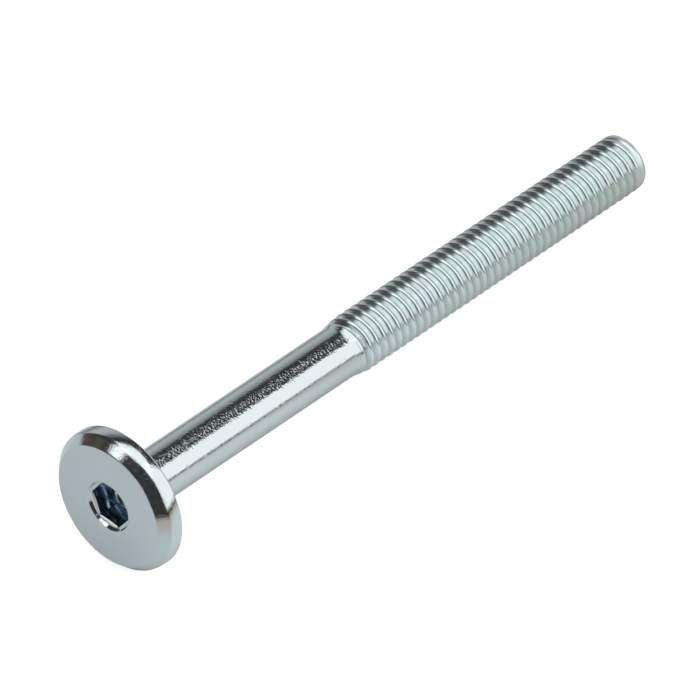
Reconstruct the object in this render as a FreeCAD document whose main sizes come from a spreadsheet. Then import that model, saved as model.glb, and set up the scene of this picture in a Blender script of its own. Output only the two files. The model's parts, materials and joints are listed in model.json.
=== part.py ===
"""A furniture connector bolt: a wide flat head with a hex socket on a long part-threaded shank.

The real bolt is one piece of steel wire. Its head is cold forged, its socket punched, and its thread
rolled, so one body holds all of it. It is drawn along its own Z axis, from the head's outer face to
the tip, and then laid down as a dropped bolt lies: on the head's rim and on the end of the thread.
The thread is drawn at its outside diameter, with its run-in and its rounded tip.
"""

import FreeCAD
import Part
import Sketcher
import math
import os

NODE = "connector_bolt"

# Driving dimensions in millimetres and degrees: alias, value, what it is
SIZES = [
    ("head_diameter", 14.9, "across the head's rim"),
    ("head_thickness", 2.5, "from the outer face to the bearing face"),
    ("bevel_width", 1.0, "of the cone round the outer face, along the radius"),
    ("bevel_height", 1.0, "of that cone, along the axis"),
    ("rim_draft", 0.09, "how much smaller in radius the rim is at the bevel than at its widest"),
    ("rim_widest", 1.8, "from the outer face to where the rim is widest"),
    ("rim_rounding", 0.25, "radius of the rim's edge at the bearing face"),
    ("neck_rounding", 0.3, "radius where the shank grows out of the head"),
    ("length", 70.3, "from the bearing face to the tip"),
    ("shank_diameter", 5.35, "of the plain shank, the thread's pitch diameter"),
    ("thread_diameter", 6.0, "outside diameter of the rolled thread"),
    ("thread_length", 39.3, "from the first full crest to the tip"),
    ("run_in_length", 1.8, "of the cone from the shank up to the first crest"),
    ("tip_diameter", 5.8, "of the last turn, where its slight taper meets the flat end"),
    ("tip_taper_length", 1.0, "of that taper"),
    ("tip_rounding", 0.45, "radius of the edge round the flat end"),
    ("socket_width", 4.1, "across the flats of the hex socket, room for a 4 mm key"),
    ("socket_depth", 2.8, "from the outer face to the end of the socket's flats"),
    ("socket_point_depth", 0.5, "of the cone that the punch leaves under the flats"),
    ("mouth_diameter", 5.3, "of the round recess that the hexagon is sunk in, at the outer face"),
    ("mouth_floor_diameter", 5.0, "of that recess at its flat floor"),
    ("mouth_depth", 0.35, "of that recess, from the outer face"),
    ("roll", -26.6, "how far the lying bolt has rolled from a corner of the socket straight up"),
]


def make_sheet(doc):
    """The spreadsheet that every feature reads: name, value and note, one size a row."""
    sheet = doc.addObject("Spreadsheet::Sheet", "Sizes")
    for row, (alias, value, note) in enumerate(SIZES, start=1):
        sheet.set(f"A{row}", alias)
        sheet.set(f"B{row}", str(value))
        sheet.set(f"C{row}", note)
        sheet.setAlias(f"B{row}", alias)
    doc.recompute()
    return sheet


def origin_feature(body, role):
    """The body's own origin plane or axis of that role."""
    return next(f for f in body.Origin.OriginFeatures if f.Role == role)


def new_sketch(body, name, role):
    """An empty sketch on one of the body's origin planes."""
    sketch = body.newObject("Sketcher::SketchObject", name)
    sketch.AttachmentSupport = [(origin_feature(body, role), "")]
    sketch.MapMode = "FlatFace"
    return sketch


def driven_outline(sketch, corners):
    """A closed outline of straight lines, each corner held at (radius, height) by two expressions.

    The sketch lies on the XZ plane, so its own x is the distance from the axis and its y the height
    over the head's outer face. The plain numbers only place the corners before the solver runs.
    """
    points = [FreeCAD.Vector(x, y, 0) for x, y, _, _ in corners]
    for start, end in zip(points, points[1:] + points[:1]):
        sketch.addGeometry(Part.LineSegment(start, end), False)
    for line in range(len(points)):
        sketch.addConstraint(Sketcher.Constraint("Coincident", line - 1 if line else len(points) - 1, 2, line, 1))
    for line, (x, y, radius, height) in enumerate(corners):
        for kind, value, formula in (("DistanceX", x, radius), ("DistanceY", y, height)):
            index = sketch.addConstraint(Sketcher.Constraint(kind, -1, 1, line, 1, value))
            sketch.setExpression(f"Constraints[{index}]", formula)
    return sketch


def turned(body, kind, name, sketch):
    """The sketch turned right round the bolt's axis, as added or removed material."""
    feature = body.newObject(kind, name)
    feature.Profile = sketch
    feature.ReferenceAxis = (origin_feature(body, "Z_Axis"), [""])
    feature.Angle = 360
    return feature


def ring_edge(shape, radius, height):
    """The name of the round edge of that radius at that height."""
    for index, edge in enumerate(shape.Edges, start=1):
        curve = edge.Curve
        if isinstance(curve, Part.Circle) and abs(curve.Radius - radius) < 1e-4:
            if abs(curve.Center.z - height) < 1e-4:
                return f"Edge{index}"
    raise RuntimeError(f"no round edge of radius {radius} at height {height}")


def rounded(body, name, base, edge, size):
    """A fillet on one edge of the base feature, its radius read from the sheet."""
    fillet = body.newObject("PartDesign::Fillet", name)
    fillet.Base = (base, [edge])
    fillet.setExpression("Radius", f"Sizes.{size}")
    return fillet


def add_blank(body):
    """The forged and rolled blank: head with its bevel, plain shank, run-in, thread and tip."""
    tip = "Sizes.head_thickness + Sizes.length"
    crest = f"{tip} - Sizes.thread_length"
    rim = "Sizes.head_diameter / 2"
    shank = "Sizes.shank_diameter / 2"
    thread = "Sizes.thread_diameter / 2"
    corners = [
        (0.0, 0.0, "0", "0"),
        (6.4, 0.0, f"{rim} - Sizes.bevel_width", "0"),
        (7.3, 1.0, f"{rim} - Sizes.rim_draft", "Sizes.bevel_height"),
        (7.4, 1.8, rim, "Sizes.rim_widest"),
        (7.4, 2.5, rim, "Sizes.head_thickness"),
        (2.7, 2.5, shank, "Sizes.head_thickness"),
        (2.7, 31.7, shank, f"{crest} - Sizes.run_in_length"),
        (3.0, 33.5, thread, crest),
        (3.0, 71.8, thread, f"{tip} - Sizes.tip_taper_length"),
        (2.9, 72.8, "Sizes.tip_diameter / 2", tip),
        (0.0, 72.8, "0", tip),
    ]
    profile = driven_outline(new_sketch(body, "BlankProfile", "XZ_Plane"), corners)
    return turned(body, "PartDesign::Revolution", "Blank", profile)


def add_mouth(body):
    """The shallow round recess with sloping sides that leads the key into the hexagon in its floor."""
    corners = [
        (0.0, 0.0, "0", "0"),
        (2.65, 0.0, "Sizes.mouth_diameter / 2", "0"),
        (2.5, 0.35, "Sizes.mouth_floor_diameter / 2", "Sizes.mouth_depth"),
        (0.0, 0.35, "0", "Sizes.mouth_depth"),
    ]
    profile = driven_outline(new_sketch(body, "MouthProfile", "XZ_Plane"), corners)
    return turned(body, "PartDesign::Groove", "Mouth", profile)


def add_punch_point(body):
    """The shallow cone that the punch leaves under the hexagon's flats."""
    floor = "Sizes.socket_depth"
    corners = [
        (0.0, 2.8, "0", floor),
        (2.05, 2.8, "Sizes.socket_width / 2", floor),
        (0.0, 3.3, "0", f"{floor} + Sizes.socket_point_depth"),
    ]
    profile = driven_outline(new_sketch(body, "PointProfile", "XZ_Plane"), corners)
    return turned(body, "PartDesign::Groove", "PunchPoint", profile)


def add_socket(body):
    """The hex socket, cut straight down from the head's outer face, with a corner along X."""
    corner_radius = 2.37
    corners = []
    for step in range(6):
        angle = math.radians(60 * step)
        corners.append(FreeCAD.Vector(corner_radius * math.cos(angle), corner_radius * math.sin(angle), 0))
    sketch = new_sketch(body, "SocketHexagon", "XY_Plane")
    for start, end in zip(corners, corners[1:] + corners[:1]):
        sketch.addGeometry(Part.LineSegment(start, end), False)
    circle = sketch.addGeometry(Part.Circle(FreeCAD.Vector(), FreeCAD.Vector(0, 0, 1), corner_radius), True)
    sketch.addConstraint(Sketcher.Constraint("Coincident", circle, 3, -1, 1))
    for side in range(6):
        sketch.addConstraint(Sketcher.Constraint("Coincident", side, 2, (side + 1) % 6, 1))
        sketch.addConstraint(Sketcher.Constraint("PointOnObject", side, 1, circle))
    for side in range(1, 6):
        sketch.addConstraint(Sketcher.Constraint("Equal", 0, side))
    sketch.addConstraint(Sketcher.Constraint("PointOnObject", 0, 1, -1))
    radius = sketch.addConstraint(Sketcher.Constraint("Radius", circle, corner_radius))
    sketch.setExpression(f"Constraints[{radius}]", "Sizes.socket_width / sqrt(3)")
    pocket = body.newObject("PartDesign::Pocket", "Socket")
    pocket.Profile = sketch
    pocket.Type = "Length"
    pocket.Reversed = True
    pocket.setExpression("Length", "Sizes.socket_depth")
    return pocket


def make_bolt(doc, sheet):
    """The whole bolt in one body, standing on its head's outer face with its tip up."""
    body = doc.addObject("PartDesign::Body", "Bolt")
    body.Label = NODE
    blank = add_blank(body)
    doc.recompute()

    rim_edge = ring_edge(blank.Shape, sheet.head_diameter / 2, sheet.head_thickness)
    rim = rounded(body, "RimRounding", blank, rim_edge, "rim_rounding")
    doc.recompute()
    neck_edge = ring_edge(rim.Shape, sheet.shank_diameter / 2, sheet.head_thickness)
    neck = rounded(body, "NeckRounding", rim, neck_edge, "neck_rounding")
    doc.recompute()
    tip_edge = ring_edge(neck.Shape, sheet.tip_diameter / 2, sheet.head_thickness + sheet.length)
    rounded(body, "TipRounding", neck, tip_edge, "tip_rounding")
    doc.recompute()

    for cut in (add_socket, add_mouth, add_punch_point):
        before = body.Shape.Volume
        feature = cut(body)
        doc.recompute()
        if body.Shape.Volume > before - 0.01:
            raise RuntimeError(f"{feature.Name} removed nothing")
    return body


def lay_down(body, sheet):
    """Lay the bolt on the floor, tip towards +X, with the middle of its box over the origin.

    The floor touches the rim's rounding and the corner where the tip's taper begins. Seen from the
    side, the line that touches both leans by the slope from the rounding's centre to that corner,
    and by the little that the rounding's own radius adds. The taper is steeper than that line.
    """
    along = sheet.length - sheet.tip_taper_length + sheet.rim_rounding
    drop = sheet.head_diameter / 2 - sheet.rim_rounding - sheet.thread_diameter / 2
    lean = math.degrees(math.atan2(drop, along) + math.asin(sheet.rim_rounding / math.hypot(along, drop)))
    turn = FreeCAD.Rotation(FreeCAD.Vector(0, 1, 0), 90 + lean)
    roll = FreeCAD.Rotation(FreeCAD.Vector(0, 0, 1), 180 + sheet.roll)
    body.Placement = FreeCAD.Placement(FreeCAD.Vector(), turn.multiply(roll))
    box = body.Shape.optimalBoundingBox(False, False)
    body.Placement.Base = FreeCAD.Vector(-box.Center.x, -box.Center.y, -box.ZMin)


def check(doc, body):
    """Stop if a feature failed, or if the bolt isn't one sound solid."""
    for item in doc.Objects:
        if "Invalid" in item.State or "Error" in item.State:
            raise RuntimeError(f"{item.Name} failed: {item.State}")
    if body.Shape.isNull() or not body.Shape.isValid() or len(body.Shape.Solids) != 1:
        raise RuntimeError("the bolt isn't one sound solid")


def main():
    doc = FreeCAD.newDocument("ConnectorBolt")
    sheet = make_sheet(doc)
    body = make_bolt(doc, sheet)
    lay_down(body, sheet)
    doc.recompute()
    check(doc, body)
    os.makedirs("parts", exist_ok=True)
    body.Shape.exportStep(f"parts/{NODE}.step")
    box = body.Shape.optimalBoundingBox(False, False)
    print(f"{NODE}: volume {body.Shape.Volume:.2f} mm3, faces {len(body.Shape.Faces)}")
    print(f"box {box.XMin:.3f} {box.YMin:.3f} {box.ZMin:.3f} to {box.XMax:.3f} {box.YMax:.3f} {box.ZMax:.3f}")


main()
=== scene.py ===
"""The looks of a zinc-plated furniture connector bolt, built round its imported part.

One closed mesh stands for the part's only node. It keeps the part's sizes and lying place and adds
what the part leaves out: the rolled thread, its run-out, and the small roundings of the edges.
The bolt's lengths are in mm along its own axis, and its vertices are written in the frame's metres.
"""

import json
import math

import bpy
import numpy as np
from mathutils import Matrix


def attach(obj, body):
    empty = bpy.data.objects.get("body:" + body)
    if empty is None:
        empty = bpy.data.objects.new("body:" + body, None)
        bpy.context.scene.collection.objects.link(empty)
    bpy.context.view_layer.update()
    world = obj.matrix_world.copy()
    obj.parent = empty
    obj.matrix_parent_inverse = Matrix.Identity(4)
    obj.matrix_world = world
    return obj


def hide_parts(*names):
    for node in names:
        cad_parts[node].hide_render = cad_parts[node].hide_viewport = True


MM_PER_M = 1000.0
DEGREES_PER_RADIAN = math.degrees(1.0)

# The turned blank, in mm and degrees, with z from the head's outer face towards the tip
HEAD_RADIUS = 7.45
HEAD_THICKNESS = 2.5
BEVEL_WIDTH = 1.0
BEVEL_SLOPE = 42.3
FACE_ROUNDING = 0.25
RIM_WIDEST = 1.85
RIM_CROWN = 3.6
RIM_TILT = 13.5
RIM_CROWN_END = 87.5
RIM_ROUNDING = 0.25
NECK_ROUNDING = 0.3
SHANK_RADIUS = 2.675
CREST_RADIUS = 3.0
RUN_IN = (31.7, 33.5)
RUN_IN_SOFTNESS = 0.15
TIP_Z = 72.8
TAPER_START = 71.3
TAPER = 0.12
TIP_ROUNDING = 0.6

# The rolled thread. A root passes through GROOVE_Z at GROOVE_ANGLE from straight up. FLANK_HALF is
# half the groove's width as a share of the pitch, and CROWN_FALL the crown's share of the depth.
PITCH = 1.0
ROOT_RADIUS = 2.37
FLANK_HALF = 0.33
CROWN_FALL = 0.12
GROOVE_COMES_IN = (31.9, 33.3)
GROOVE_RUNS_OUT = (71.0, 72.2)
GROOVE_Z = 33.9
GROOVE_ANGLE = 32.0

# The hex socket and the shallow round recess that it is sunk in. ROLL turns a corner of the
# hexagon from straight up.
ROLL = -26.6
SOCKET_APOTHEM = 2.05
SOCKET_DEPTH = 2.8
SOCKET_CORNER_ROUNDING = 0.06
POINT_DEPTH = 0.5
LEAD_IN_WIDTH = 0.14
LEAD_IN_DEPTH = 0.28
LEAD_IN_STOPS = 0.05
MOUTH_RADIUS = 2.65
MOUTH_FLOOR_RADIUS = 2.5
MOUTH_DEPTH = 0.35
MOUTH_FLOOR_ROUNDING = 0.03

# Rings of the mesh up to the spiral. The point's, the lead-in's and the bevel's are shares of the
# way, the lip's are z and distance past MOUTH_RADIUS, and the others are radii or z.
POINT_SHARES = (0.35, 0.7, 0.97)
WALL_RINGS = (2.2, 1.6, 1.0)
LEAD_IN_STEPS = ((1.1, 0.0), (0.9, 0.05), (0.17, 0.64), (0.06, 0.8), (0.0, 1.0))
LIP_RINGS = ((0.04, -0.02), (0.01, 0.01), (0.0, 0.05))
FACE_RINGS = (3.2, 4.0, 5.0, 5.8)
BEVEL_SHARES = (0.3, 0.5, 0.7, 0.93)
BACK_RINGS = (6.0, 4.6, 3.6)
SHANK_RINGS = (5.0, 9.0, 14.0, 19.0, 24.0, 27.5)

# How finely the mesh is laid out: columns round the axis, and rows over one pitch of the spiral,
# which reaches from the shank over the tip's edge to the flat end. The hexagon's six corners are
# sharp from the first to the last of HEXAGON_RINGS.
COLUMNS = 120
HEXAGON_RINGS = (3, 13)
SPIRAL_START = 29.0
SPIRAL_END = TIP_Z + TIP_ROUNDING + 1.7
ROWS = (0.0, 0.04, 0.1, 0.2, 0.29, 0.35, 0.42, 0.5, 0.58, 0.65, 0.71, 0.8, 0.9, 0.96)

# Noises over the plating: size of the largest grains in mm, detail and roughness
GRAINS = (0.16, 2.0, 0.6)
SPECKLES = (0.2, 0.5, 0.5)
PATCHES = (3.0, 2.0, 0.5)
PITS = (0.5, 2.0, 0.55)
SHEENS = (1.3, 1.0, 0.5)
SHEENS_FROM = (0.4, 0.6)

# Colours of the plating, with painted shade in the thread's roots and at the socket's entry, and the
# places in mm along or from the axis where they meet
SMOOTH_ZINC = ((0.65, 0.695, 0.71, 1), (0.69, 0.73, 0.74, 1))
CREST_ZINC = ((0.75, 0.835, 0.825, 1), (0.785, 0.835, 0.855, 1))
# Painted shade: the thread's roots are darker than its crests, so that the grooves look shaded.
SHADED_ROOT_ZINC = (0.5, 0.57, 0.59, 1)
# Painted shade: the socket's wall is dark near its mouth, and lighter and bluer deeper down.
SOCKET_ENTRY_SHADE = (0.13, 0.17, 0.22, 1)
SOCKET_WALL_ZINC = (0.6, 0.72, 0.8, 1)
SOCKET_FLOOR_ZINC = (0.65, 0.75, 0.8, 1)
THREAD_BEGINS = (32.2, 33.4)
ROOT_TO_CREST = (2.38, 2.6)
SOCKET_FROM = (0.38, 0.6)
SOCKET_WITHIN = (2.45, 2.35)
SOCKET_UNTIL = (4.0, 3.6)
SOCKET_DEEPER = (1.3, 1.75)
SOCKET_FLOOR = (2.77, 2.8)
RECESS_WITHIN = (2.75, 2.68)
BEVEL_OUTSIDE = (6.4, 6.5)
BEVEL_UNTIL = (1.1, 1.0)
TIP_FROM = (TIP_Z - 1.6, TIP_Z - 0.9)

# Roughness of the plating: the smooth head's, and what the grains and each duller place add
SMOOTH_ROUGHNESS = 0.05
GRAINS_ROUGHNESS = 0.06
THREAD_ROUGHNESS = 0.15
SOCKET_ROUGHNESS = 0.04
TIP_ROUGHNESS = 0.15
BEVEL_SPECK_ROUGHNESS = 0.1
BEVEL_SPECKS = (0.5, 0.66)

# Bump of the plating, in steps of BUMP_STEP metres. The shank's scuffed stripe faces WORN_TOWARDS.
BUMP_STEP = 0.00001
PITS_FROM = (0.62, 0.75)
PIT_DEPTH = 0.8
PATCH_HEIGHT = 0.3
SCUFF_HEIGHT = 1.8
WORN_TOWARDS = (0.0, -0.27, 0.96)
WORN_REACH = (0.92, 0.965)
WORN_FROM = (3.5, 4.5)
RECESS_SMOOTHING = 0.97
THREAD_SMOOTHING = 0.5

# Panels of the studio, seen from the bolt: middle azimuth, half width, lowest and highest
# elevation, edge softness, all in degrees, then the light's colour. Azimuth is from +X to +Y.
PANELS = [
    ("right softbox", -54.5, 25.5, 3.0, 60.0, 1.5, (1.13, 1.17, 1.17)),
    ("softbox beside the camera", -99.0, 19.0, 4.0, 62.0, 1.5, (0.86, 0.88, 0.88)),
    ("top softbox", 0.0, 400.0, 55.5, 200.0, 2.0, (1.17, 1.22, 1.22)),
    ("back wall", 58.0, 30.0, -5.0, 31.0, 13.0, (0.46, 0.5, 0.51)),
    ("left card", 145.0, 12.0, 37.0, 70.0, 3.0, (1.38, 1.42, 1.42)),
    ("front card", 180.0, 23.0, -4.0, 26.0, 4.0, (0.62, 0.66, 0.66)),
    ("end card", 8.0, 30.0, -4.0, 27.0, 4.0, (0.9, 0.97, 0.97)),
    ("window behind the camera", -131.0, 11.0, 42.0, 58.0, 4.0, (0.22, 0.38, 0.48)),
    ("brown shelf", 104.0, 7.0, -3.0, 14.0, 3.0, (0.06, 0.03, 0.02)),
    ("olive cloth", 120.0, 9.0, 0.0, 30.0, 4.0, (0.05, 0.05, 0.035)),
]
DARK_ROOM = (0.045, 0.045, 0.045)

# The floor, in metres of the frame. The metal mirrors a white paper sheet up to its front edge, and
# past it a painted dark reflection that the camera never sees.
FLOOR_RADIUS = 2.5
FLOOR_CORNERS = 96
CAMERA_SIDE = (-0.707, -0.707, 0.0)
SHEET_EDGE = 0.087
SHEET_EDGE_SOFT = 0.004
SHEET_FRONT = (0.035, 0.055)
SHEET_TIP_SIDE = (0.0, 0.045)
SHEET_BEHIND = (0.025, 0.05)
SHEET_BEHIND_FROM = (-0.03, -0.02)
# Painted reflection: the dark that the metal mirrors past the sheet's edge, where the camera sees
# white.
PAINTED_DARK_PAST_EDGE = (0.05, 0.05, 0.05, 1)
PAPER_COLOUR = (0.77, 0.77, 0.77, 1)
# Painted reflection: these tones of the sheet at the tip's side, in front and behind are seen only
# in the metal, never by the camera.
PAINTED_TIP_REFLECTION = (0.62, 0.62, 0.59, 1)
PAINTED_FRONT_REFLECTION = (0.65, 0.61, 0.55, 1)
PAINTED_BEHIND_REFLECTION = (0.3, 0.32, 0.33, 1)

# Painted reflection: a glow of the sheet that only the metal sees, strongest in front, with painted
# shade where it is weakest under the bolt
CAMERA_WHITE = 0.75
UNDER_BOLT = (0.002, 0.012)
UNDER_BOLT_SHADE_SHARE = 0.2
BEFORE_FACE = (-0.0365, -0.0355)
BEFORE_FACE_SHARE = 0.52
FRONT_TO_BACK = (-0.03, 0.04)
SHEEN_STRENGTH = (0.24, 0.1)
UNDER_THREAD = (-0.004, 0.008)
# Tints of that painted reflection: darker under the thread, bluer before the face, warmer in front.
SHANK_SHEEN = (0.7, 0.87, 0.93, 1)
FACE_SHEEN = (0.55, 0.9, 1.1, 1)
THREAD_SHEEN = (0.33, 0.35, 0.27, 1)
FRONT_SHEEN = (0.62, 0.47, 0.32, 1)

# The camera: place in metres, the direction back from the bolt to it in degrees, and its lens
CAMERA_PLACE = (-0.645482, -0.601155, 0.844155)
CAMERA_AZIMUTH = -136.910357
CAMERA_ELEVATION = 43.648216
CAMERA_LENS = 653.97


def smoothstep(low, high, x):
    """0 below low, 1 above high, and t²(3 − 2t) between them."""
    t = np.clip((np.asarray(x, dtype=float) - low) / (high - low), 0.0, 1.0)
    return t * t * (3.0 - 2.0 * t)


def soft_ramp(low, high, x):
    """0 below low, 1 above high, and a straight line between them with slightly rounded ends.

    It is the mean of seven straight ramps, shifted by up to RUN_IN_SOFTNESS either way.
    """
    shift = np.linspace(-RUN_IN_SOFTNESS, RUN_IN_SOFTNESS, 7)
    x = np.asarray(x, dtype=float)
    return np.mean([np.clip((x + away - low) / (high - low), 0.0, 1.0) for away in shift], axis=0)


def arc(centre_z, centre_r, radius, start, end, steps):
    """Points (z, r) along a rounding, its angles in degrees from the z direction towards r."""
    angles = np.radians(np.linspace(start, end, steps))
    return [(centre_z + radius * math.cos(t), centre_r + radius * math.sin(t)) for t in angles]


def column_angles():
    """The angle of every column round the axis, from straight up, with socket corners on columns."""
    return np.radians(ROLL + 360.0 * np.arange(COLUMNS) / COLUMNS)


def hexagon_radius():
    """How far the socket's wall lies from the axis in every column: apothem / cos(from mid-flat)."""
    within = (np.arange(COLUMNS) * 360.0 / COLUMNS) % 60.0
    return SOCKET_APOTHEM / np.cos(np.radians(within - 30.0))


def socket_rings():
    """Rings (z, r) from the punched point up the hexagon, over the recess's floor and out of it.

    The cone and the recess are round. On the wall r is the hexagon's, less a quarter round at its
    foot and more by the lead-in at its top, which stops short of the recess's own edge.
    """
    wall = hexagon_radius()
    foot = SOCKET_CORNER_ROUNDING
    rings = []
    for share in POINT_SHARES:
        rings.append((SOCKET_DEPTH + POINT_DEPTH * (1 - share), SOCKET_APOTHEM * share))
    for inwards in (foot, foot * 0.3, 0.0):
        rise = math.sqrt(inwards * (2 * foot - inwards))
        rings.append((SOCKET_DEPTH - foot + rise, wall - inwards))
    rings += [(z, wall) for z in WALL_RINGS]
    widest = MOUTH_FLOOR_RADIUS - LEAD_IN_STOPS
    for down, out in LEAD_IN_STEPS:
        lead_in = np.minimum(wall + LEAD_IN_WIDTH * out, widest)
        rings.append((MOUTH_DEPTH + LEAD_IN_DEPTH * down, lead_in))
    rings.append((MOUTH_DEPTH, MOUTH_FLOOR_RADIUS - MOUTH_FLOOR_ROUNDING))
    rings.append((MOUTH_DEPTH - MOUTH_FLOOR_ROUNDING, MOUTH_FLOOR_RADIUS))
    rings += [(z, MOUTH_RADIUS + out) for z, out in LIP_RINGS]
    return rings


def head_rings():
    """Rings (z, r) over the face, the bevel, the crowned rim and the bearing face on to the shank.

    The face turns into the bevel over a small arc. The rim is a wide arc, tilted where it meets the
    bevel at a sharp corner, and the last two arcs are the rim's back edge and the neck.
    """
    face_edge = HEAD_RADIUS - BEVEL_WIDTH
    rings = [(0.0, r) for r in FACE_RINGS]
    back = FACE_ROUNDING * math.tan(math.radians(90.0 - BEVEL_SLOPE) / 2)
    rings += arc(FACE_ROUNDING, face_edge - back, FACE_ROUNDING, 180.0, 90.0 + BEVEL_SLOPE, 6)
    crown = arc(RIM_WIDEST, HEAD_RADIUS - RIM_CROWN, RIM_CROWN, 90.0 + RIM_TILT, RIM_CROWN_END, 9)
    corner_z, corner_r = crown[0]
    for share in BEVEL_SHARES:
        rings.append((corner_z * share, face_edge + (corner_r - face_edge) * share))
    rings.append(((corner_z + crown[1][0]) / 2, (corner_r + crown[1][1]) / 2))
    rings += crown[1:]
    edge_z = HEAD_THICKNESS - RIM_ROUNDING
    rings += arc(edge_z, HEAD_RADIUS - RIM_ROUNDING, RIM_ROUNDING, 88.0, 0.0, 7)
    rings += [(HEAD_THICKNESS, r) for r in BACK_RINGS]
    neck_z = HEAD_THICKNESS + NECK_ROUNDING
    rings += arc(neck_z, SHANK_RADIUS + NECK_ROUNDING, NECK_ROUNDING, 180.0, 270.0, 6)
    rings += [(z, SHANK_RADIUS) for z in SHANK_RINGS]
    return rings


def blank_radius(z):
    """The unthreaded blank's radius: the shank's, more by the run-in, less by the tip's taper²."""
    rise = soft_ramp(*RUN_IN, z)
    taper = np.clip((z - TAPER_START) / (TIP_Z - TAPER_START), 0.0, 1.0)
    return SHANK_RADIUS + (CREST_RADIUS - SHANK_RADIUS) * rise - TAPER * taper**2


def blank_outline(length):
    """Axial place and radius at that length along the blank's outline.

    The length equals z along the bolt, then follows the rounded edge and runs inwards over the end.
    """
    edge = TIP_Z - TIP_ROUNDING
    turn = np.clip((length - edge) / TIP_ROUNDING, 0.0, math.pi / 2)
    inwards = np.maximum(length - edge - TIP_ROUNDING * math.pi / 2, 0.0)
    z = np.minimum(length, edge) + TIP_ROUNDING * np.sin(turn)
    r = blank_radius(np.minimum(length, edge)) - TIP_ROUNDING * (1.0 - np.cos(turn)) - inwards
    return z, r


def groove_depth(z):
    """How deep the thread is cut there: it comes in over the run-in and leaves at the tip."""
    rise = smoothstep(*GROOVE_COMES_IN, z)
    fall = 1.0 - smoothstep(*GROOVE_RUNS_OUT, z)
    return (CREST_RADIUS - ROOT_RADIUS) * rise * fall


def groove_shape(turn):
    """Share of the full depth over one pitch, 1 at the root and 0 over the crest.

    Straight flanks rise from the root, and a crown of power 1.5 rounds the land between them.
    """
    away = np.abs((np.asarray(turn) + 0.5) % 1.0 - 0.5)
    crown = CROWN_FALL * np.clip((0.5 - away) / (0.5 - FLANK_HALF), 0.0, 1.0) ** 1.5
    flank = np.clip((FLANK_HALF - away) / FLANK_HALF, 0.0, 1.0)
    return crown + (1.0 - CROWN_FALL) * flank


def place(frame):
    """The bolt's place in the frame, in mm: the face's centre, the axis, up and the far side."""
    mounts = {mount["name"]: mount for mount in frame["record"]["mounts"]}
    axis = np.array(mounts["thread"]["axis"])
    axis = axis / np.linalg.norm(axis)
    centre = np.array(mounts["hex_socket"]["pos_m"]) * MM_PER_M
    up = np.array([0.0, 0.0, 1.0]) - axis * axis[2]
    up = up / np.linalg.norm(up)
    return centre, axis, up, np.cross(axis, up)


def ring_vertices(rings):
    """Vertices (z, r, angle) of the punched point and then of every ring, column by column."""
    z = np.array([np.broadcast_to(ring[0], COLUMNS) for ring in rings])
    r = np.array([np.broadcast_to(ring[1], COLUMNS) for ring in rings])
    angle = np.broadcast_to(column_angles(), z.shape)
    point = [[SOCKET_DEPTH + POINT_DEPTH, 0.0, 0.0]]
    return np.concatenate((point, np.stack((z, r, angle), axis=-1).reshape(-1, 3)))


def spiral_vertices(row_count):
    """Vertices (z, r, angle) of the spiral, a column at a time.

    A row keeps its place in the pitch all the way round and moves on by a pitch in one turn, so
    the grooves follow the rows. r is the blank's radius less the groove's depth times its shape.
    """
    rows = np.arange(row_count)
    in_turn = np.array(ROWS)[rows % len(ROWS)] + rows // len(ROWS)
    phase = GROOVE_Z + PITCH * (ROLL - GROOVE_ANGLE) / 360.0
    start = phase + PITCH * math.ceil((SPIRAL_START - phase) / PITCH)
    column = np.arange(COLUMNS)[:, None]
    z, r = blank_outline(start + PITCH * (in_turn + column / COLUMNS))
    r = r - groove_depth(z) * groove_shape(in_turn)
    angle = np.broadcast_to(column_angles()[:, None], z.shape)
    return np.stack((z, r, angle), axis=-1).reshape(-1, 3)


def quads(*corners):
    """Quads from four arrays of vertex numbers, one array for each corner in turn."""
    return np.stack(corners, axis=-1).reshape(-1, 4).tolist()


def ring_faces(ring_count):
    """The fan round the punched point and the quads between neighbouring rings."""
    column = np.arange(COLUMNS)
    after = (column + 1) % COLUMNS
    fan = np.stack((0 * column, 1 + after, 1 + column), axis=-1).tolist()
    low = 1 + COLUMNS * np.arange(ring_count - 1)[:, None]
    high = low + COLUMNS
    return fan + quads(low + column, low + after, high + after, high + column)


def spiral_faces(last_ring, grid):
    """The faces of the spiral, whose vertex numbers the grid holds by column and row.

    Over the seam the last column meets the first one's rows of the next turn. One face closes the
    step that this leaves at the shank, and one face is the flat end.
    """
    turn = len(ROWS)
    first, last = grid[0], grid[-1]
    faces = quads(grid[:-1, :-1], grid[1:, :-1], grid[1:, 1:], grid[:-1, 1:])
    faces += quads(last[: -turn - 1], first[turn:-1], first[turn + 1 :], last[1:-turn])
    faces += quads(last_ring[:-1], last_ring[1:], grid[1:, 0], grid[:-1, 0])
    step = np.concatenate((last_ring[-1:], last_ring[:1], first[: turn + 1], last[:1]))
    end = np.concatenate((grid[:, -1], last[-2 : -2 - turn : -1]))
    return faces + [step.tolist(), end.tolist()]


def mark_socket_corners(mesh):
    """Marks the edges along the hexagon's six corners as sharp."""
    ring = np.arange(*HEXAGON_RINGS)[:, None]
    corner = (1 + ring * COLUMNS + np.arange(0, COLUMNS, COLUMNS // 6)).ravel()
    vertex_count = len(mesh.vertices)
    edges = np.empty(2 * len(mesh.edges), dtype=np.int32)
    mesh.edges.foreach_get("vertices", edges)
    edges = np.sort(edges.reshape(-1, 2).astype(np.int64), axis=1)
    wanted = corner * vertex_count + corner + COLUMNS
    sharp = np.isin(edges[:, 0] * vertex_count + edges[:, 1], wanted)
    mesh.edges.foreach_set("use_edge_sharp", sharp)


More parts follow.
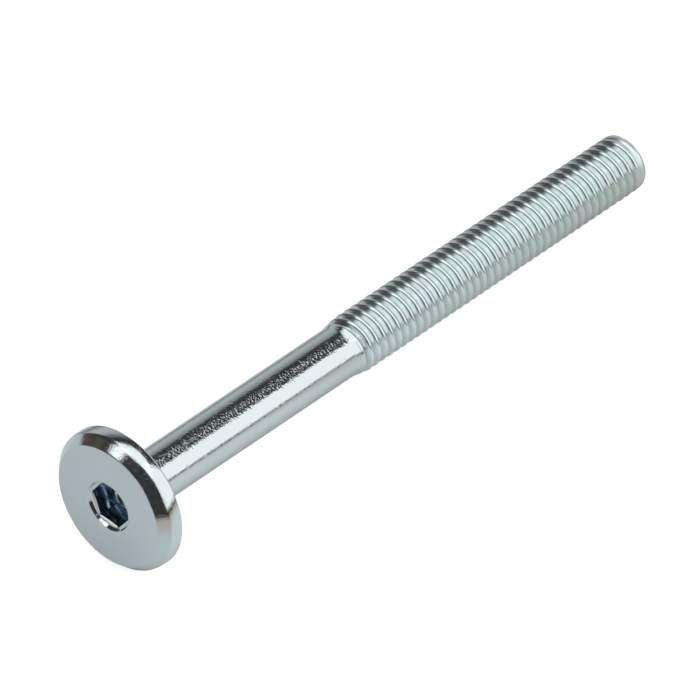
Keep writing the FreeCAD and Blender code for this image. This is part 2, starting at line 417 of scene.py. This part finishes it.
def make_bolt(frame):
    """The bolt as one object at the origin, its vertices in the frame's metres.

    A vertex lies at centre + z·axis + r·(cos(angle)·up + sin(angle)·side).
    """
    rings = socket_rings() + head_rings()
    turns = math.floor((SPIRAL_END - SPIRAL_START) / PITCH) - 1
    row_count = turns * len(ROWS) + 1
    local = np.concatenate((ring_vertices(rings), spiral_vertices(row_count)))
    numbers = np.arange(len(local))
    ring_end = 1 + len(rings) * COLUMNS
    last_ring = numbers[ring_end - COLUMNS : ring_end]
    grid = numbers[ring_end:].reshape(COLUMNS, row_count)
    faces = ring_faces(len(rings)) + spiral_faces(last_ring, grid)

    centre, axis, up, side = place(frame)
    z, r, angle = np.split(local, 3, axis=1)
    world = centre + z * axis + r * (np.cos(angle) * up + np.sin(angle) * side)
    mesh = bpy.data.meshes.new("plated_bolt")
    mesh.from_pydata((world / MM_PER_M).tolist(), [], faces)
    mesh.update()
    mesh.polygons.foreach_set("use_smooth", [True] * len(mesh.polygons))
    mark_socket_corners(mesh)
    bolt = bpy.data.objects.new("plated_bolt", mesh)
    bpy.context.scene.collection.objects.link(bolt)
    mesh.materials.append(make_zinc(centre, axis))
    return bolt


def connect(tree, value, socket):
    """Links an output to the socket, or sets the socket's own value."""
    if isinstance(value, bpy.types.NodeSocket):
        tree.links.new(value, socket)
    else:
        socket.default_value = value


def calc(tree, operation, *values):
    """One math node's output."""
    made = tree.nodes.new("ShaderNodeMath")
    made.operation = operation
    for socket, value in zip(made.inputs, values):
        connect(tree, value, socket)
    return made.outputs[0]


def product(tree, first, *others):
    """The values multiplied together."""
    for value in others:
        first = calc(tree, "MULTIPLY", first, value)
    return first


def vector_calc(tree, operation, *values):
    """One vector math node's output: a number from a dot product or a length, else a vector."""
    made = tree.nodes.new("ShaderNodeVectorMath")
    made.operation = operation
    for socket, value in zip(made.inputs, values):
        connect(tree, value, socket)
    return made.outputs["Value" if operation in ("DOT_PRODUCT", "LENGTH") else "Vector"]


def split_vector(tree, vector):
    """The vector's three numbers."""
    made = tree.nodes.new("ShaderNodeSeparateXYZ")
    connect(tree, vector, made.inputs[0])
    return made.outputs


def ramp(tree, value, low, high, out_low=0.0, out_high=1.0):
    """The value carried softly from one range to another, held at its ends."""
    made = tree.nodes.new("ShaderNodeMapRange")
    made.interpolation_type = "SMOOTHSTEP"
    for socket, number in zip(made.inputs, (value, low, high, out_low, out_high)):
        connect(tree, number, socket)
    return made.outputs[0]


def blend_colours(tree, factor, first, second):
    """Two colours mixed by the factor."""
    made = tree.nodes.new("ShaderNodeMix")
    made.data_type = "RGBA"
    connect(tree, factor, made.inputs[0])
    connect(tree, first, made.inputs[6])
    connect(tree, second, made.inputs[7])
    return made.outputs[2]


def noise(tree, coordinates, size_mm, detail, roughness):
    """A noise whose largest grains are about that size."""
    made = tree.nodes.new("ShaderNodeTexNoise")
    connect(tree, coordinates, made.inputs["Vector"])
    made.inputs["Scale"].default_value = MM_PER_M / size_mm
    made.inputs["Detail"].default_value = detail
    made.inputs["Roughness"].default_value = roughness
    return made.outputs[0]


def worn_direction(axis):
    """The way the shank's scuffed stripe faces, square to the axis."""
    away = np.array(WORN_TOWARDS) - axis * np.dot(WORN_TOWARDS, axis)
    return away / np.linalg.norm(away)


def bolt_places(tree, here, centre, axis):
    """z and radius in mm of a point on the bolt, and how far it faces the shank's worn side."""
    along = vector_calc(tree, "DOT_PRODUCT", here, tuple(axis * MM_PER_M))
    z = calc(tree, "SUBTRACT", along, float(np.dot(centre, axis)))
    offset = vector_calc(tree, "SUBTRACT", here, tuple(centre / MM_PER_M))
    across = vector_calc(tree, "CROSS_PRODUCT", offset, tuple(axis * MM_PER_M))
    radius = vector_calc(tree, "LENGTH", across)
    worn_side = tuple(worn_direction(axis) * MM_PER_M / SHANK_RADIUS)
    return z, radius, vector_calc(tree, "DOT_PRODUCT", offset, worn_side)


def zinc_colour(tree, z, radius, threaded, in_socket, patches, sheens):
    """Plain zinc on head and shank, bluer crests over roots darkened as painted shade, and the
    socket's entry painted dark as shade.
    """
    smooth = blend_colours(tree, patches, *SMOOTH_ZINC)
    crest = blend_colours(tree, sheens, *CREST_ZINC)
    # Painted shade: the thread's colour darkens from crest to root.
    rolled = blend_colours(tree, ramp(tree, radius, *ROOT_TO_CREST), SHADED_ROOT_ZINC, crest)
    outside = blend_colours(tree, threaded, smooth, rolled)
    # Painted shade at the socket's entry, fading towards the bluer wall deeper in.
    deeper = ramp(tree, z, *SOCKET_DEEPER)
    wall = blend_colours(tree, deeper, SOCKET_ENTRY_SHADE, SOCKET_WALL_ZINC)
    wall = blend_colours(tree, ramp(tree, z, *SOCKET_FLOOR), wall, SOCKET_FLOOR_ZINC)
    return blend_colours(tree, in_socket, outside, wall)


def zinc_roughness(tree, z, radius, threaded, in_socket, grains, speckles):
    """The smooth head's roughness, plus the grains and each duller place times what it adds."""
    rough = calc(tree, "MULTIPLY_ADD", grains, GRAINS_ROUGHNESS, SMOOTH_ROUGHNESS)
    rough = calc(tree, "MULTIPLY_ADD", threaded, THREAD_ROUGHNESS, rough)
    rough = calc(tree, "MULTIPLY_ADD", in_socket, SOCKET_ROUGHNESS, rough)
    rough = calc(tree, "MULTIPLY_ADD", ramp(tree, z, *TIP_FROM), TIP_ROUGHNESS, rough)
    on_bevel = product(tree, ramp(tree, radius, *BEVEL_OUTSIDE), ramp(tree, z, *BEVEL_UNTIL))
    specks = product(tree, on_bevel, ramp(tree, speckles, *BEVEL_SPECKS))
    return calc(tree, "MULTIPLY_ADD", specks, BEVEL_SPECK_ROUGHNESS, rough)


def zinc_height(tree, here, z, facing, threaded, grains, speckles, patches):
    """Grains less the pits, plus broad patches, plus the scuffs of the shank's worn stripe."""
    pits = ramp(tree, noise(tree, here, *PITS), *PITS_FROM)
    plain_shank = product(tree, ramp(tree, z, *WORN_FROM), calc(tree, "SUBTRACT", 1.0, threaded))
    worn = product(tree, plain_shank, ramp(tree, facing, *WORN_REACH), SCUFF_HEIGHT)
    height = calc(tree, "MULTIPLY_ADD", pits, -PIT_DEPTH, grains)
    height = calc(tree, "MULTIPLY_ADD", patches, PATCH_HEIGHT, height)
    return calc(tree, "MULTIPLY_ADD", worn, speckles, height)


def make_zinc(centre, axis):
    """Bright zinc plating with a blue passivation: smooth head and shank, duller thread."""
    material = bpy.data.materials.new("zinc plating")
    material.use_nodes = True
    tree = material.node_tree
    shader = tree.nodes["Principled BSDF"]
    here = tree.nodes.new("ShaderNodeTexCoord").outputs["Object"]
    z, radius, facing = bolt_places(tree, here, centre, axis)
    before_neck = ramp(tree, z, *SOCKET_UNTIL)
    threaded = ramp(tree, z, *THREAD_BEGINS)
    past_recess = product(tree, ramp(tree, z, *SOCKET_FROM), ramp(tree, radius, *SOCKET_WITHIN))
    in_socket = product(tree, past_recess, before_neck)

    grains = noise(tree, here, *GRAINS)
    speckles = noise(tree, here, *SPECKLES)
    patches = noise(tree, here, *PATCHES)
    sheens = ramp(tree, noise(tree, here, *SHEENS), *SHEENS_FROM)
    colour = zinc_colour(tree, z, radius, threaded, in_socket, patches, sheens)
    rough = zinc_roughness(tree, z, radius, threaded, in_socket, grains, speckles)
    height = zinc_height(tree, here, z, facing, threaded, grains, speckles, patches)

    bump = tree.nodes.new("ShaderNodeBump")
    in_recess = product(tree, ramp(tree, radius, *RECESS_WITHIN), before_neck)
    kept = calc(tree, "MULTIPLY_ADD", in_recess, -RECESS_SMOOTHING, 1.0)
    kept = calc(tree, "MULTIPLY_ADD", threaded, -THREAD_SMOOTHING, kept)
    connect(tree, kept, bump.inputs["Strength"])
    bump.inputs["Distance"].default_value = BUMP_STEP
    connect(tree, height, bump.inputs["Height"])
    connect(tree, colour, shader.inputs["Base Color"])
    shader.inputs["Metallic"].default_value = 1.0
    connect(tree, rough, shader.inputs["Roughness"])
    connect(tree, bump.outputs[0], shader.inputs["Normal"])
    return material


def panel_share(tree, direction, elevation, panel):
    """How much of that panel is seen in the direction, from 0 to 1."""
    name, middle, half, low, high, soft, _ = panel
    turned = tree.nodes.new("ShaderNodeVectorRotate")
    turned.label = name
    turned.rotation_type = "Z_AXIS"
    connect(tree, direction, turned.inputs["Vector"])
    turned.inputs["Angle"].default_value = math.radians(-middle)
    x, y, _ = split_vector(tree, turned.outputs[0])
    azimuth = calc(tree, "MULTIPLY", calc(tree, "ARCTAN2", y, x), DEGREES_PER_RADIAN)
    across = ramp(tree, calc(tree, "ABSOLUTE", azimuth), half + soft, half - soft)
    above = ramp(tree, elevation, low - soft * 0.5, low + soft * 0.5)
    below = ramp(tree, elevation, high + soft, high - soft)
    return product(tree, across, product(tree, above, below))


def make_studio():
    """A dark room with lit panels, and plain white where the camera looks past the floor."""
    world = bpy.data.worlds.new("studio")
    bpy.context.scene.world = world
    world.use_nodes = True
    tree = world.node_tree
    direction = tree.nodes.new("ShaderNodeTexCoord").outputs["Generated"]
    rise = split_vector(tree, direction)[2]
    elevation = calc(tree, "MULTIPLY", calc(tree, "ARCSINE", rise), DEGREES_PER_RADIAN)
    total = DARK_ROOM
    for panel in PANELS:
        share = panel_share(tree, direction, elevation, panel)
        total = vector_calc(tree, "MULTIPLY_ADD", share, panel[-1], total)
    path = tree.nodes.new("ShaderNodeLightPath")
    shown = tree.nodes.new("ShaderNodeMix")
    shown.data_type = "VECTOR"
    connect(tree, path.outputs["Is Camera Ray"], shown.inputs[0])
    connect(tree, total, shown.inputs[4])
    connect(tree, (1.0, 1.0, 1.0), shown.inputs[5])
    connect(tree, shown.outputs[1], tree.nodes["Background"].inputs["Color"])


def paper_and_painted_reflection(tree, x, y, in_front, mirrored):
    """The sheet's colour: plain to the camera, and a painted reflection where the metal mirrors its
    far parts, toned and darker there.
    """
    behind = product(tree, ramp(tree, y, *SHEET_BEHIND), ramp(tree, x, *SHEET_BEHIND_FROM), mirrored)
    tip_side = product(tree, ramp(tree, x, *SHEET_TIP_SIDE), mirrored)
    paper = blend_colours(tree, tip_side, PAPER_COLOUR, PAINTED_TIP_REFLECTION)
    paper = blend_colours(tree, product(tree, in_front, mirrored), paper, PAINTED_FRONT_REFLECTION)
    return blend_colours(tree, behind, paper, PAINTED_BEHIND_REFLECTION)


def sheet_white_and_painted_sheen(tree, x, y, in_front, path):
    """What the sheet gives off: white to the camera, and a weak toned glow that only the metal sees,
    a painted reflection with painted shade under the bolt.
    """
    mirrored = path.outputs["Is Glossy Ray"]
    glow = tree.nodes.new("ShaderNodeEmission")
    # Painted shade: the glow into the metal falls away under the bolt.
    beside = ramp(tree, calc(tree, "ABSOLUTE", y), *UNDER_BOLT, UNDER_BOLT_SHADE_SHARE, 1.0)
    before_face = ramp(tree, x, *BEFORE_FACE, 1.0, 0.0)
    change = calc(tree, "MULTIPLY_ADD", beside, -1.0, BEFORE_FACE_SHARE)
    share = calc(tree, "MULTIPLY_ADD", before_face, change, beside)
    sheen_strength = ramp(tree, y, *FRONT_TO_BACK, *SHEEN_STRENGTH)
    into_metal = product(tree, share, sheen_strength, mirrored)
    to_camera = path.outputs["Is Camera Ray"]
    strength = calc(tree, "MULTIPLY_ADD", to_camera, CAMERA_WHITE, into_metal)
    connect(tree, strength, glow.inputs["Strength"])
    sheen = blend_colours(tree, before_face, SHANK_SHEEN, FACE_SHEEN)
    sheen = blend_colours(tree, ramp(tree, x, *UNDER_THREAD), sheen, THREAD_SHEEN)
    sheen = blend_colours(tree, in_front, sheen, FRONT_SHEEN)
    connect(tree, blend_colours(tree, mirrored, (1, 1, 1, 1), sheen), glow.inputs["Color"])
    return glow


def make_floor():
    """A wide white floor that is white to the camera and keeps the bolt's soft shadow.

    In the metal the sheet shows too, up to its front edge, past which the reflection is painted
    dark.
    """
    bpy.ops.mesh.primitive_circle_add(
        vertices=FLOOR_CORNERS,
        radius=FLOOR_RADIUS,
        fill_type="NGON",
        location=(0, 0, 0),
    )
    floor = bpy.context.object
    floor.name = "floor"
    material = bpy.data.materials.new("white paper")
    material.use_nodes = True
    tree = material.node_tree
    tree.nodes.remove(tree.nodes["Principled BSDF"])
    path = tree.nodes.new("ShaderNodeLightPath")
    mirrored = path.outputs["Is Glossy Ray"]
    here = tree.nodes.new("ShaderNodeTexCoord").outputs["Object"]
    x, y, _ = split_vector(tree, here)
    nearer = vector_calc(tree, "DOT_PRODUCT", here, CAMERA_SIDE)
    in_front = ramp(tree, nearer, *SHEET_FRONT)
    past_edge = ramp(tree, nearer, SHEET_EDGE - SHEET_EDGE_SOFT, SHEET_EDGE + SHEET_EDGE_SOFT)

    paper = tree.nodes.new("ShaderNodeBsdfDiffuse")
    connect(tree, paper_and_painted_reflection(tree, x, y, in_front, mirrored), paper.inputs["Color"])
    lit = tree.nodes.new("ShaderNodeAddShader")
    connect(tree, paper.outputs[0], lit.inputs[0])
    connect(tree, sheet_white_and_painted_sheen(tree, x, y, in_front, path).outputs[0], lit.inputs[1])
    # Painted reflection: only the metal sees the floor dark past the sheet's edge.
    dark = tree.nodes.new("ShaderNodeBsdfDiffuse")
    dark.inputs["Color"].default_value = PAINTED_DARK_PAST_EDGE
    sheet = tree.nodes.new("ShaderNodeMixShader")
    connect(tree, product(tree, past_edge, mirrored), sheet.inputs[0])
    connect(tree, lit.outputs[0], sheet.inputs[1])
    connect(tree, dark.outputs[0], sheet.inputs[2])
    connect(tree, sheet.outputs[0], tree.nodes["Material Output"].inputs["Surface"])
    floor.data.materials.append(material)
    return floor


def make_camera():
    """A long lens from above the head's left, where the photograph was taken."""
    data = bpy.data.cameras.new("camera")
    data.sensor_width = 36.0
    data.lens = CAMERA_LENS
    data.clip_start = 0.1
    data.clip_end = 20.0
    camera = bpy.data.objects.new("camera", data)
    bpy.context.scene.collection.objects.link(camera)
    camera.location = CAMERA_PLACE
    camera.rotation_euler = (
        math.radians(90.0 - CAMERA_ELEVATION),
        0.0,
        math.radians(CAMERA_AZIMUTH + 90.0),
    )
    bpy.context.scene.camera = camera


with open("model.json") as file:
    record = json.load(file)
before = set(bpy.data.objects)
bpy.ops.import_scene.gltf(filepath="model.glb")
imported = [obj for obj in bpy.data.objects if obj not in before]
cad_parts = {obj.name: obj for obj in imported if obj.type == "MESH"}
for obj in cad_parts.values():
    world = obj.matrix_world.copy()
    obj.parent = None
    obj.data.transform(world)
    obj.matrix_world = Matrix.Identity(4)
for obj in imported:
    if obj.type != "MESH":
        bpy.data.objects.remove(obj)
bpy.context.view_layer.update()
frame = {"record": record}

bolt = make_bolt(frame)
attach(bolt, "root")
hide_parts("connector_bolt")

make_studio()
make_floor()
make_camera()
bpy.context.scene.view_settings.view_transform = "Standard"
